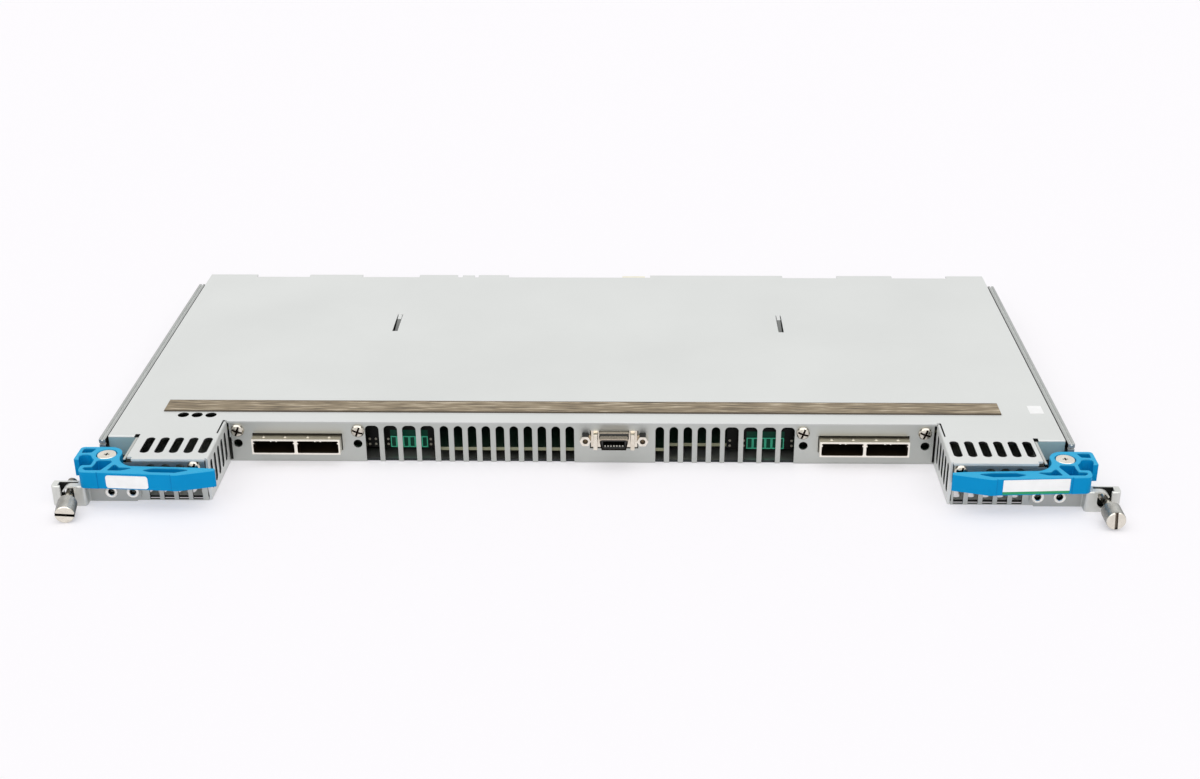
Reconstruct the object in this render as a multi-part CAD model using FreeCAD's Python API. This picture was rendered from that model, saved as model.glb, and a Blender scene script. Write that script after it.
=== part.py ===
"""Storage switch board: a sheet-metal drawer with two ejector levers, as one assembly of named pieces.

Millimetres. +Z is up, +X runs along the long side, the port panel faces -Y.
The origin is the bottom centre of the bounding box.
"""
import FreeCAD, Part
import math
import os

V = FreeCAD.Vector

# Driving sizes of the housing
body_half = 204.6       # half width of tray and cover
body_height = 20.0      # underside of the tray to the top of the cover
sheet = 1.0             # thickness of the folded sheet
panel_from_rear = 174.1  # rear edge to the recessed front panel
lip_ahead = 15.1        # cover lips in front of the panel
box_ahead = 35.4        # shoulder boxes in front of the panel
ear_ahead = 5.5         # bracket ears in front of the shoulder boxes
screw_ahead = 16.0      # thumbscrew tips in front of the ears
pocket_width = 12.1     # lever pocket between the body side and a shoulder box
left_box_width = 35.6   # left shoulder box
right_box_width = 39.7  # right shoulder box
rail_width = 3.8        # side rail
rail_setback = 12.0     # rail starts this far in front of the rear edge
notch_depth = 3.2       # rear notches of the cover
notch_gap = 1.0         # notches beside the rear connectors
floor_lift = 0.8        # floors of the shoulder boxes above the floor of the tray
gasket_height = 0.5     # conductive strip on the cover

# Vents
slim_pitch = 6.12       # slim panel slots and shoulder slots
slim_width = 3.8
wide_pitch = 8.14       # wide panel slots
wide_width = 6.0
top_vent_length = 14.4  # slots in the shoulder tops

# Board
window_pitch = 2.75     # windows of the indicator cards
board_z = 4.4           # underside of the circuit board
board_thick = 1.6
board_setback = 3.2     # board edge behind the front face of the panel
board_step = 4.8        # parts of the board edge that stand back
left_chip_x = -52.0     # middles of the switch chips
right_chip_x = 58.0
chip_half = 17.0
chip_height = 2.2
sink_half = 24.0        # heat sinks, half across and half deep
sink_deep = 22.0
sink_plate = 2.0
fin_pitch = 4.68
fin_thick = 1.2
memory_height = 1.2
module_half = 16.0      # power modules
module_height = 9.0
coil_half = 5.5
coil_height = 5.0
can_r = 3.2             # capacitors
can_height = 8.0

# Port cages
cage_width = 38.8
cage_height = 7.2
cage_ahead = 4.8        # cage in front of the panel
cage_depth = 36.0
cage_wall = 0.7
cage_rib = 1.3          # wall between the two ports
left_cage_in = 30.5     # middle of the left cage from the left shoulder box
right_cage_in = 31.2    # middle of the right cage from the right shoulder box

# Ribbon connector
ribbon_x = 12.75
ribbon_below = 6.1      # middle of the connector below the cover sheet
ribbon_ahead = 7.5
jack_half = 12.45       # half the spacing of the jackscrews

# Levers
lever_thick = 7.8
lever_z = 9.8           # underside of the levers
pivot_in = 2.6          # pivot inward of the body side
pivot_back = 8.2        # pivot behind the front of the shoulder boxes
pivot_r = 2.5           # shoulder of the pivot screw
pivot_play = 0.05       # running clearance of the lever on it
hub_r = 6.4
boss_r = 6.2            # hub where the claw notch runs around it
label_front = -15.8     # front face from the pivot, 5 mm outward of it, and its slope
label_slope = -0.057
head_r = 4.1            # pivot screw head

# Thumbscrews
knob_r = 3.95
knob_length = 9.7
knob_edge = 0.3         # bevel at the end of the head
neck_r = 1.6
thread_r = 2.08
wall_hole_r = 1.95      # hole of the ear for the neck, too small for the thread
screw_in_ear = 7.7      # screw axis from the inner side of the ear
screw_z = 4.7
screw_float = 1.0       # play of the screws in their ears: the right one lies outward, the left one up
left_yaw = 9.5          # the left screw hangs askew
left_droop = 4.5
left_push = 0.7         # and is pushed in by this much

# Derived places
depth = panel_from_rear + box_ahead + ear_ahead + screw_ahead
rear_y = depth / 2
panel_y = rear_y - panel_from_rear
lip_y = panel_y - lip_ahead
box_y = panel_y - box_ahead
ear_y = box_y - ear_ahead
tip_y = ear_y - screw_ahead
box_half = body_half - pocket_width
left_in = -box_half + left_box_width
right_in = box_half - right_box_width
under_cover = body_height - sheet
slot_top = under_cover - 1.1
left_cage_x = left_in + left_cage_in
right_cage_x = right_in - right_cage_in
ribbon_z = under_cover - ribbon_below
board_top = board_z + board_thick
pivot_x = body_half - pivot_in
pivot_y = box_y + pivot_back
lever_top = lever_z + lever_thick
shelf_top = lever_z - 0.3
ear_in = body_half + 3.9
ear_width = 14.7
ear_top = lever_z - 0.5
ear_depth = ear_ahead - 0.2
screw_x = ear_in + screw_in_ear
ear_wall = 1.0           # rear wall of an ear, around the neck of the screw
hold_y = ear_y + ear_depth - ear_wall / 2
knob_end = hold_y - tip_y
hook_x = screw_x - 1.5
hook_z = ear_top - 4.0


def block(x0, x1, y0, y1, z0, z1):
    """Box between two corners."""
    return Part.makeBox(x1 - x0, y1 - y0, z1 - z0, V(x0, y0, z0))


def rod(r, z0, z1, x, y):
    """Upright cylinder."""
    return Part.makeCylinder(r, z1 - z0, V(x, y, z0), V(0, 0, 1))


def rod_y(r, y0, y1, x, z):
    """Cylinder along the depth."""
    return Part.makeCylinder(r, y1 - y0, V(x, y0, z), V(0, 1, 0))


def prism(points, z0, z1):
    """Upright prism over a plan polygon."""
    ring = [V(x, y, z0) for x, y in points]
    face = Part.Face(Part.makePolygon(ring + ring[:1]))
    return face.extrude(V(0, 0, z1 - z0))


def prism_x(points, x0, x1):
    """Prism along the width over a (y, z) polygon."""
    ring = [V(x0, y, z) for y, z in points]
    face = Part.Face(Part.makePolygon(ring + ring[:1]))
    return face.extrude(V(x1 - x0, 0, 0))


def prism_y(points, y0, y1):
    """Prism along the depth over an (x, z) polygon."""
    ring = [V(x, y0, z) for x, z in points]
    face = Part.Face(Part.makePolygon(ring + ring[:1]))
    return face.extrude(V(0, y1 - y0, 0))


def obround(x, y0, y1, width, z0, z1):
    """Cutter for a slot with round ends along the depth."""
    r = width / 2
    body = block(x - r, x + r, y0 + r, y1 - r, z0, z1)
    return body.fuse([rod(r, z0, z1, x, y0 + r), rod(r, z0, z1, x, y1 - r)]).removeSplitter()


def obround_x(y, z0, z1, width, x0, x1):
    """Cutter along the width for an upright slot with round ends."""
    r = width / 2
    ends = [Part.makeCylinder(r, x1 - x0, V(x0, y, z), V(1, 0, 0)) for z in (z0 + r, z1 - r)]
    return block(x0, x1, y - r, y + r, z0 + r, z1 - r).fuse(ends).removeSplitter()


def arch(x, width, corner, y0, y1, z0, z1):
    """Cutter for an upright slot with a rounded top and an open foot."""
    half = width / 2
    body = block(x - half, x + half, y0, y1, z0, z1)
    edges = [e for e in body.Edges
             if abs(e.Vertexes[0].Z - z1) < 1e-6 and abs(e.Vertexes[-1].Z - z1) < 1e-6
             and abs(e.Vertexes[0].X - e.Vertexes[-1].X) < 1e-6]
    return body.makeFillet(min(corner, half - 0.01), edges)


def round_edges(shape, radius, test):
    """Round the straight edges whose two ends both pass the test."""
    picked = [e for e in shape.Edges if len(e.Vertexes) == 2 and all(test(v.Point) for v in e.Vertexes)]
    return shape.makeFillet(radius, picked)


def turned(profile, origin, axis):
    """Solid of revolution of (distance along the axis, radius) pairs."""
    ring = [V(r, 0, s) for s, r in profile]
    face = Part.Face(Part.makePolygon(ring + ring[:1]))
    solid = face.revolve(V(0, 0, 0), V(0, 0, 1), 360)
    turn = FreeCAD.Rotation(V(0, 0, 1), axis)
    solid.Placement = FreeCAD.Placement(origin, turn)
    return solid


def mirrored(shape):
    """The same piece for the other side."""
    return shape.mirror(V(0, 0, 0), V(1, 0, 0))


def group(shapes):
    return Part.makeCompound(shapes)


def columns(first, count, pitch):
    return [first + pitch * i for i in range(count)]


# Columns of the vents
left_wide = columns(left_cage_x + 33.0, 4, wide_pitch)
right_wide = columns(right_cage_x - 33.08 - 3 * wide_pitch, 4, wide_pitch)
left_start = left_wide[-1] + 7.28
left_slim = columns(left_start, int((ribbon_x - 19.0 - left_start) / slim_pitch) + 1, slim_pitch)
right_start = ribbon_x + 19.95
right_slim = columns(right_start, int((right_wide[0] - 6.5 - right_start) / slim_pitch) + 1, slim_pitch)
left_top = columns(left_in - 28.4, 5, 6.2)
right_top = columns(right_in + 4.1, 6, slim_pitch)
left_front = columns(left_in - 24.2, 4, slim_pitch)
right_front = columns(right_in + 4.4, 5, slim_pitch)
flank_y = columns(box_y + 5.1, 5, slim_pitch)
panel_screw_x = (left_in + 4.4, left_cage_x + 26.9, right_cage_x - 26.6, right_in - 4.9)
panel_screw_z = under_cover - 3.5
lamp_x = (left_in + 4.1, left_cage_x + 26.5, right_cage_x - 26.2, right_in - 4.4)
lamp_z = board_top + 3.0
box_screws = ((left_in - 5.9, under_cover - 2.7), (right_in + 4.2, under_cover - 2.7))
eyelet_out = (pivot_x - 3.0, box_half - 2.6)
eyelet_z = 4.4
rear_connectors = [(38.9 - body_half, 26.0), (-108.3, 28.4), (-17.0, 54.0), (113.5, 26.6),
                   (body_half - 33.5, 26.6)]
rear_guides = [(-66.9, 11.0, under_cover - 1.6), (20.6, 12.0, under_cover + 0.8)]
guide_r = 3.2           # bore of the guide sockets
module_x = body_half - 66.6
chip_y = panel_y + 62.6


def make_tray():
    """One folded sheet: floor, recessed panel, shoulder fronts and outer walls, side walls and wings."""
    walls = [
        block(-body_half, body_half, panel_y, rear_y - notch_depth, 0, sheet),
        block(-body_half, left_in - sheet - 0.2, box_y, panel_y + sheet, floor_lift, floor_lift + sheet),
        block(right_in + sheet + 0.2, body_half, box_y, panel_y + sheet, floor_lift, floor_lift + sheet),
        block(-body_half, left_in - sheet - 0.2, panel_y, panel_y + sheet, 0, floor_lift + sheet),
        block(right_in + sheet + 0.2, body_half, panel_y, panel_y + sheet, 0, floor_lift + sheet),
        block(left_in + 1.3, right_in - 0.9, panel_y, panel_y + sheet, 0, under_cover),
        block(-box_half, left_in - sheet - 0.4, box_y, box_y + sheet, 0, under_cover),
        block(right_in + sheet + 0.4, box_half, box_y, box_y + sheet, 0, under_cover),
        block(-body_half, body_half, rear_y - notch_depth - sheet, rear_y - notch_depth, 0, under_cover),
        block(-box_half, left_in - sheet - 0.4, box_y, box_y + 4, under_cover - sheet, under_cover),
        block(right_in + sheet + 0.4, box_half, box_y, box_y + 4, under_cover - sheet, under_cover),
    ]
    for side in (-1, 1):
        outer = sorted((side * body_half, side * (body_half - sheet)))
        walls.append(block(outer[0], outer[1], lip_y + 1.3, rear_y - notch_depth, 0, under_cover))
        shoulder = sorted((side * box_half, side * (box_half - sheet)))
        walls.append(block(shoulder[0], shoulder[1], box_y, lip_y - 0.5, 0, under_cover + 0.6))
        wing = sorted((side * (body_half + 1), side * box_half))
        walls.append(block(wing[0], wing[1], box_y, box_y + sheet, 0, shelf_top - 1.0))
    tray = walls[0].fuse(walls[1:]).removeSplitter()
    # Bends: panel foot, shoulder feet and shoulder brows
    tray = round_edges(tray, 0.8, lambda p: abs(p.y - panel_y) < 1e-6 and abs(p.z) < 1e-6)
    tray = round_edges(tray, 0.8, lambda p: abs(p.y - box_y) < 1e-6 and abs(p.z - under_cover) < 1e-6)
    cuts = []
    for x in left_wide + right_wide:
        cuts.append(arch(x, wide_width, 2.0, panel_y - 1, panel_y + 1.4, -1, slot_top))
    for x in left_slim + right_slim:
        cuts.append(arch(x, slim_width, 1.9, panel_y - 1, panel_y + 1.4, -1, slot_top))
    for i, x in enumerate(left_front):
        top = slot_top - 0.7 if i < 3 else slot_top - 6.4
        cuts.append(arch(x, slim_width + 0.4, 2.0, box_y - 1, box_y + sheet + 0.1, 0.45, top))
    for i, x in enumerate(right_front):
        top = slot_top - 0.7 if i > 1 else slot_top - 6.4
        cuts.append(arch(x, slim_width + 0.4, 2.0, box_y - 1, box_y + sheet + 0.1, 0.45, top))
    for x in left_top + right_top:
        cuts.append(obround(x, box_y + 3.2, box_y + 18.0, slim_width, -1, floor_lift + sheet + 1))
    for middle in (left_cage_x, right_cage_x):
        half = cage_width / 2 + 0.4
        cuts.append(block(middle - half, middle + half, panel_y - 1, panel_y + 2,
                          board_top - 0.2, board_top + cage_height + 0.8))
    for x, width in rear_connectors + [guide[:2] for guide in rear_guides]:
        cuts.append(block(x - width / 2 - 0.4, x + width / 2 + 0.4, rear_y - 8, rear_y, board_z - 0.4,
                          under_cover - 1.2))
    cuts.append(block(ribbon_x - 10.6, ribbon_x + 10.6, panel_y - 1, panel_y + 2, ribbon_z - 5.6,
                      ribbon_z + 3.1))
    for x in lamp_x:
        cuts.append(rod_y(1.95, panel_y - 1, panel_y + 2, x, lamp_z))
    for x in panel_screw_x:
        cuts.append(rod_y(1.5, panel_y - 1, panel_y + 2, x, panel_screw_z))
    for x, z in box_screws:
        cuts.append(rod_y(1.5, box_y - 1, box_y + 2, x, z))
    for side in (-1, 1):
        corner = sorted((side * (box_half - sheet), side * (box_half - sheet - 2.7)))
        cuts.append(block(corner[0], corner[1], box_y - 1, box_y + 5, under_cover - sheet - 0.1,
                          under_cover + 1))
        for x in eyelet_out:
            cuts.append(rod_y(1.6, box_y - 2, box_y + 2, side * x, eyelet_z))
        cuts.append(rod_y(1.2, panel_y - 1, panel_y + 2, ribbon_x + side * jack_half, ribbon_z))
    return tray.cut(cuts)


def make_cover():
    """Lid sheet with rear notches, shoulder tops, folded shoulder flanks, folded lips and lanced tongues."""
    top = body_height
    spans = [(x - width / 2 - notch_gap, x + width / 2 + notch_gap) for x, width in rear_connectors]
    dark, pale = rear_guides
    middle = (spans[2][0] - 0.7, pale[0] + pale[1] / 2 + 2.7)
    notches = (spans[0], spans[1], (dark[0] - 5.9, dark[0] + 5.2), middle, spans[3], spans[4])
    edge_l = -box_half + sheet + 0.4
    edge_r = box_half - sheet - 0.4
    front = box_y - 0.9
    brow = panel_y - 0.4
    plan = [(-body_half, rear_y), (-body_half, lip_y), (-box_half - 0.7, lip_y),
            (-box_half - 0.7, lip_y + 2.0),
            (edge_l, lip_y + 2.0), (edge_l, box_y + 1.2), (edge_l + 2.2, box_y + 1.2), (edge_l + 2.2, front),
            (left_in - 1.2, front), (left_in - 1.2, box_y + 0.3), (left_in, box_y + 0.3), (left_in, brow),
            (right_in, brow), (right_in, box_y + 0.3), (right_in + 1.2, box_y + 0.3), (right_in + 1.2, front),
            (edge_r - 2.2, front), (edge_r - 2.2, box_y + 1.2), (edge_r, box_y + 1.2), (edge_r, lip_y + 2.0),
            (box_half + 0.7, lip_y + 2.0), (box_half + 0.7, lip_y), (body_half, lip_y), (body_half, rear_y)]
    for x0, x1 in reversed(notches):
        plan += [(x1, rear_y), (x1, rear_y - notch_depth), (x0, rear_y - notch_depth), (x0, rear_y)]
    lid = prism(plan, under_cover, top)
    folds = []
    for side in (-1, 1):
        lip = sorted((side * body_half, side * (box_half + 0.7)))
        folds.append(block(lip[0], lip[1], lip_y, lip_y + sheet, lever_z + 1.0, under_cover + 0.5))
    for x0 in (left_in - sheet, right_in):
        folds.append(block(x0, x0 + sheet, box_y + 0.3, panel_y - 0.6, 0.2, under_cover + 0.5))
    # Screw tabs behind the panel, narrower where a wide slot is close
    for x, left, right in zip(panel_screw_x, (4.0, 4.0, 1.9, 4.0), (4.0, 1.9, 4.0, 4.0)):
        folds.append(block(x - left, x + right, panel_y + sheet, panel_y + 2 * sheet,
                           panel_screw_z - 4.1, under_cover + 0.5))
    # Small catch between the tabs of the narrow rear notch
    folds.append(block(dark[0] - 3.3, dark[0] + 3.1, rear_y - notch_depth - 1, rear_y - 0.4, under_cover,
                       top))
    lid = lid.fuse(folds).removeSplitter()
    lid = round_edges(lid, 0.6, lambda p: abs(p.y - lip_y) < 1e-6 and abs(p.z - top) < 1e-6)
    lid = round_edges(lid, 0.9, lambda p: abs(p.x - left_in) < 1e-6 and abs(p.z - top) < 1e-6)
    lid = round_edges(lid, 0.9, lambda p: abs(p.x - right_in) < 1e-6 and abs(p.z - top) < 1e-6)
    cuts = []
    for x in left_top + right_top:
        cuts.append(obround(x, box_y + 4.9, box_y + 4.9 + top_vent_length, slim_width, under_cover - 1,
                            top + 1))
    for i in range(3):
        cuts.append(rod(2.45, under_cover - 1, top + 1, left_in - 20.4 + slim_pitch * i, panel_y + 5.7))
    # Slits of the shoulder flanks and the relief slits above them
    for x0, gap in ((left_in - sheet, -0.7), (right_in, sheet)):
        for y in flank_y:
            cuts.append(obround_x(y, sheet + 2.6, under_cover - 2.0, slim_width, x0 - 0.5, x0 + sheet + 0.5))
        cuts.append(block(x0 + gap, x0 + gap + 0.7, panel_y - 12.0, panel_y + 0.6, under_cover - 1, top + 1))
        cuts.append(block(x0 - 0.1, x0 + sheet + 0.1, panel_y - 0.6, panel_y + 0.6, under_cover - 1, top + 1))
    for x in panel_screw_x:
        cuts.append(rod_y(1.2, panel_y, panel_y + 4, x, panel_screw_z))
    tongues = []
    for x in (108.2 - body_half, body_half - 111.6):
        y0 = rear_y - 75.0
        y1 = rear_y - 54.0
        cuts.append(block(x - 1.3, x + 1.3, y0, y1, under_cover - 1, top + 1))
        tongues.append(prism_x([(y1 + 0.5, top - 0.01), (y0 + 1.2, top - 2.4), (y0 + 1.2, top - 3.2),
                                (y1 + 0.5, under_cover + 0.1)], x - 0.9, x + 0.9))
    lid = lid.cut(cuts)
    return lid.fuse(tongues).removeSplitter()


def make_rail():
    """Right side rail: one extruded section with an inner groove at the top."""
    x = body_half
    section = [(x, 2.0), (x + rail_width, 2.0), (x + rail_width, under_cover + 0.3),
               (x + 2.6, under_cover + 0.3),
               (x + 2.6, under_cover - 0.4), (x + 2.0, under_cover - 0.4), (x + 2.0, under_cover + 0.3),
               (x + 0.8, under_cover + 0.3), (x + 0.8, under_cover - 3.5), (x, under_cover - 3.5)]
    rail = prism_y(section, lip_y - 1.8, rear_y - rail_setback)
    step = block(x - 1, x + rail_width + 1, lip_y - 3, lip_y - 1.0, under_cover - 2.2, under_cover - 1.6)
    return rail.cut(step)


def make_bracket():
    """Right lever bracket: front flange, shelf, pivot post and a hooked ear that holds the captive screw."""
    end = box_half - 5.9
    flange = prism_y([(end, 2.0), (end + 2.0, 0), (ear_in + 0.6, 0), (ear_in + 0.6, shelf_top),
                      (box_half + 0.7, shelf_top), (box_half + 0.7, shelf_top - 1.2), (end, shelf_top - 1.2)],
                     box_y - sheet, box_y)
    shelf = block(box_half + 0.7, ear_in + 0.4, box_y - sheet, pivot_y + 6.2, shelf_top - 0.8, shelf_top)
    shelf = round_edges(shelf, 4.0,
                        lambda p: abs(p.y - pivot_y - 6.2) < 1e-6 and abs(p.x - ear_in - 0.4) < 1e-6)
    post = rod(4.2, floor_lift + sheet, lever_z - pivot_play, pivot_x, pivot_y)
    ear = block(ear_in, ear_in + ear_width, ear_y, ear_y + ear_depth, 0, ear_top)
    ear = round_edges(ear, 2.2, lambda p: abs(p.x - ear_in - ear_width) < 1e-6 and abs(p.y - ear_y) < 1e-6)
    ear = round_edges(ear, 1.2, lambda p: abs(p.x - ear_in) < 1e-6 and abs(p.y - ear_y) < 1e-6)
    ear = round_edges(ear, 0.6, lambda p: abs(p.z - ear_top) < 1e-6 and abs(p.y - ear_y) < 1e-6)
    cuts = []
    for half, y0, y1 in ((2.95, -1.0, 1.1), (4.1, 1.1, ear_depth - ear_wall)):
        cuts.append(rod_y(half, ear_y + y0, ear_y + y1, screw_x, screw_z))
        cuts.append(block(screw_x - half, screw_x + half, ear_y + y0, ear_y + y1, screw_z, ear_top + 1))
    # Slanted hole of the rear wall, in which the neck of the screw floats
    ends = [(screw_x + screw_float, screw_z), (screw_x, screw_z + screw_float)]
    reach = wall_hole_r / math.sqrt(2)
    sides = [(x + s * reach, z + s * reach) for s, (x, z) in zip((1, 1, -1, -1), ends + ends[::-1])]
    cuts.append(prism_y(sides, ear_y + 1, ear_y + ear_depth + 1))
    cuts += [rod_y(wall_hole_r, ear_y + 1, ear_y + ear_depth + 1, x, z) for x, z in ends]
    ear = ear.cut(cuts)
    # Hook over the screw: a curved roof from the inner side, open towards the outer side
    roof = rod_y(3.95, ear_y, ear_y + 3.2, hook_x, hook_z)
    roof = roof.cut(rod_y(3.3, ear_y - 1, ear_y + 4, hook_x, hook_z))
    sector = [(hook_x, hook_z), (hook_x + 8.0, hook_z + 3.5), (hook_x + 8.0, hook_z + 8.0),
              (hook_x, hook_z + 8.0)]
    roof = roof.common(prism_y(sector, ear_y - 1, ear_y + 4))
    root = block(screw_x - 4.4, hook_x, ear_y, ear_y + 3.2, hook_z + 3.3, hook_z + 3.95)
    bracket = flange.fuse([shelf, post, ear, roof, root]).removeSplitter()
    holes = [rod(2.0, sheet + 1.0, lever_z + 1, pivot_x, pivot_y)]
    for x in eyelet_out:
        holes.append(rod_y(1.6, box_y - 2, box_y + 1, x, eyelet_z))
    return bracket.cut(holes)


def make_lever():
    """Left lever: plan outline with hub, claw notch and tapering blade, cored out from above."""
    def at(u, v):
        return V(-pivot_x + u, pivot_y + v, lever_z)

    def around(r, angle):
        a = math.radians(angle)
        return at(r * math.cos(a), r * math.sin(a))

    def front(u):
        return label_front + (u + 5.0) * label_slope

    claw = at(-12.6, -4.9)
    edges = [
        Part.makeLine(claw, at(-12.6, 4.7)),
        Part.Arc(at(-12.6, 4.7), at(-12.1, 5.9), at(-10.9, hub_r)).toShape(),
        Part.makeLine(at(-10.9, hub_r), at(0, hub_r)),
        Part.Arc(at(0, hub_r), around(hub_r, 40), around(hub_r, -8)).toShape(),
        Part.Arc(around(hub_r, -8), at(8.2, -7.2), at(13.0, -10.7)).toShape(),
        Part.makeLine(at(13.0, -10.7), at(40.0, -11.8)),
        Part.makeLine(at(40.0, -11.8), at(48.5, -12.5)),
        Part.Arc(at(48.5, -12.5), at(49.2, -13.3), at(48.5, -14.1)).toShape(),
        Part.makeLine(at(48.5, -14.1), at(35.8, -17.7)),
        Part.Arc(at(35.8, -17.7), at(34.0, -18.1), at(32.4, -18.15)).toShape(),
        Part.makeLine(at(32.4, -18.15), at(31.6, front(31.6) - 0.2)),
        # Label field between two low steps of the front face
        Part.makeLine(at(31.6, front(31.6) - 0.2), at(31.6, front(31.6))),
        Part.makeLine(at(31.6, front(31.6)), at(0.3, front(0.3))),
        Part.makeLine(at(0.3, front(0.3)), at(0.3, front(0.3) - 0.2)),
        Part.makeLine(at(0.3, front(0.3) - 0.2), at(-5.4, front(-5.4) - 0.2)),
        Part.Arc(at(-5.4, front(-5.4) - 0.2), at(-7.2, -15.1), at(-7.9, -13.2)).toShape(),
        Part.makeLine(at(-7.9, -13.2), at(-7.9, -11.2)),
        Part.Arc(at(-7.9, -11.2), at(-7.6, -10.4), at(-6.9, -10.1)).toShape(),
        # Claw notch around the hub
        Part.makeLine(at(-6.9, -10.1), at(-4.6, -10.0)),
        Part.Arc(at(-4.6, -10.0), at(-4.0, -9.75), at(-3.8, -9.2)).toShape(),
        Part.makeLine(at(-3.8, -9.2), around(boss_r, 232.0)),
        Part.Arc(around(boss_r, 232.0), around(boss_r, 215.0), around(boss_r, 198.0)).toShape(),
        Part.Arc(around(boss_r, 198.0), at(-7.0, -0.75), at(-8.8, -0.4)).toShape(),
        Part.Arc(at(-8.8, -0.4), at(-10.5, -0.9), at(-11.1, -2.5)).toShape(),
        Part.makeLine(at(-11.1, -2.5), at(-10.5, -4.9)),
        Part.makeLine(at(-10.5, -4.9), claw),
    ]
    lever = Part.Face(Part.Wire(edges)).extrude(V(0, 0, lever_thick))
    pockets = (
        ((-11.1, 4.9), (-5.6, 4.9), (-6.9, 1.3), (-11.0, 0.9)),
        ((-2.3, -5.7), (3.4, -5.6), (4.4, -7.2), (1.6, -14.5), (-4.7, -14.5), (-6.3, -13.4), (-6.2, -11.8),
         (-2.9, -11.5), (-2.4, -9.0)),
        ((5.9, -8.8), (8.6, -11.8), (15.2, -12.3), (10.0, -14.6), (4.2, -14.6)),
        ((18.6, -14.3), (23.0, -12.5), (33.0, -12.7), (39.2, -13.9), (33.2, -16.4), (22.6, -16.0)),
    )
    cuts = []
    for outline in pockets:
        pocket = prism([(-pivot_x + u, pivot_y + v) for u, v in outline], lever_z + 1.6, lever_top + 1)
        upright = [e for e in pocket.Edges if abs(e.Vertexes[0].X - e.Vertexes[-1].X) < 1e-6
                   and abs(e.Vertexes[0].Y - e.Vertexes[-1].Y) < 1e-6]
        cuts.append(pocket.makeFillet(0.45, upright))
    cuts.append(rod(pivot_r + pivot_play, lever_z - 1, lever_top + 1, -pivot_x, pivot_y))
    cuts.append(rod(head_r + 0.35, lever_top - 1.6, lever_top + 1, -pivot_x, pivot_y))
    return lever.cut(cuts)


def make_pivot_screw():
    """Left pivot screw: flat head with a cross recess, ground shoulder, thread in the post."""
    top = lever_top - 0.1
    screw = turned([(0, 0), (0, 2.0), (lever_z - pivot_play - 3.0, 2.0),
                    (lever_z - pivot_play - 3.0, pivot_r),
                    (top - 4.2, pivot_r), (top - 4.2, head_r), (top - 3.3, head_r), (top - 3.0, head_r - 0.3),
                    (top - 3.0, 0)], V(-pivot_x, pivot_y, 3.0), V(0, 0, 1))
    bar = block(-pivot_x - 1.2, -pivot_x + 1.2, pivot_y - 0.3, pivot_y + 0.3, top - 0.9, top + 1)
    other = block(-pivot_x - 0.3, -pivot_x + 0.3, pivot_y - 1.2, pivot_y + 1.2, top - 0.9, top + 1)
    return screw.cut([bar, other])


def make_thumbscrew(x, z, yaw, droop, push, slot_angle):
    """Captive thumbscrew: long round head with a slotted end, thin neck and threaded tail."""
    rear = knob_end - knob_length
    screw = turned([(-5.0, 0), (-5.0, thread_r - 0.5), (-4.5, thread_r), (-1.1, thread_r), (-0.9, neck_r),
                    (rear, neck_r), (rear, knob_r - 0.5), (rear + 0.5, knob_r),
                    (knob_end - knob_edge, knob_r),
                    (knob_end, knob_r - knob_edge), (knob_end, 0)], V(0, 0, 0), V(0, 0, 1))
    slot = block(-5, 5, -0.62, 0.62, knob_end - 1.1, knob_end + 1)
    slot.rotate(V(0, 0, 0), V(0, 0, 1), slot_angle)
    screw = screw.cut(slot)
    screw.translate(V(0, 0, -push))
    screw.rotate(V(0, 0, 0), V(1, 0, 0), 90 + droop)
    screw.rotate(V(0, 0, 0), V(0, 0, 1), yaw)
    screw.translate(V(x, hold_y, z))
    return screw


def pan_screw(x, y, z, r, length):
    """Pan-head screw that points to +Y from the face at y, with a cross recess."""
    screw = turned([(-length, 0), (-length, 1.2), (0, 1.2), (0, r), (0.9, r), (1.6, r * 0.8), (2.0, r * 0.45),
                    (2.0, 0)], V(x, y, z), V(0, -1, 0))
    arm = r * 0.8
    bar = block(x - arm, x + arm, y - 3, y - 0.9, z - 0.45, z + 0.45)
    other = block(x - 0.45, x + 0.45, y - 3, y - 0.9, z - arm, z + arm)
    turn = bar.fuse(other)
    turn.rotate(V(x, y, z), V(0, 1, 0), 20)
    return screw.cut(turn)


def make_eyelet(x):
    """Hollow rivet with a rolled front rim."""
    return turned([(-sheet, 1.3), (-sheet, 1.6), (sheet, 1.6), (sheet, 2.55), (sheet + 0.2, 2.65),
                   (sheet + 0.45, 2.5), (sheet + 0.6, 2.1), (sheet + 0.5, 1.7), (sheet + 0.1, 1.3)],
                  V(x, box_y, eyelet_z), V(0, -1, 0))


def port_spans(middle):
    """Left and right side of each of the two ports of a cage."""
    half = cage_width / 2
    return ((middle - half + cage_wall, middle - cage_rib / 2),
            (middle + cage_rib / 2, middle + half - cage_wall))


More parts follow.
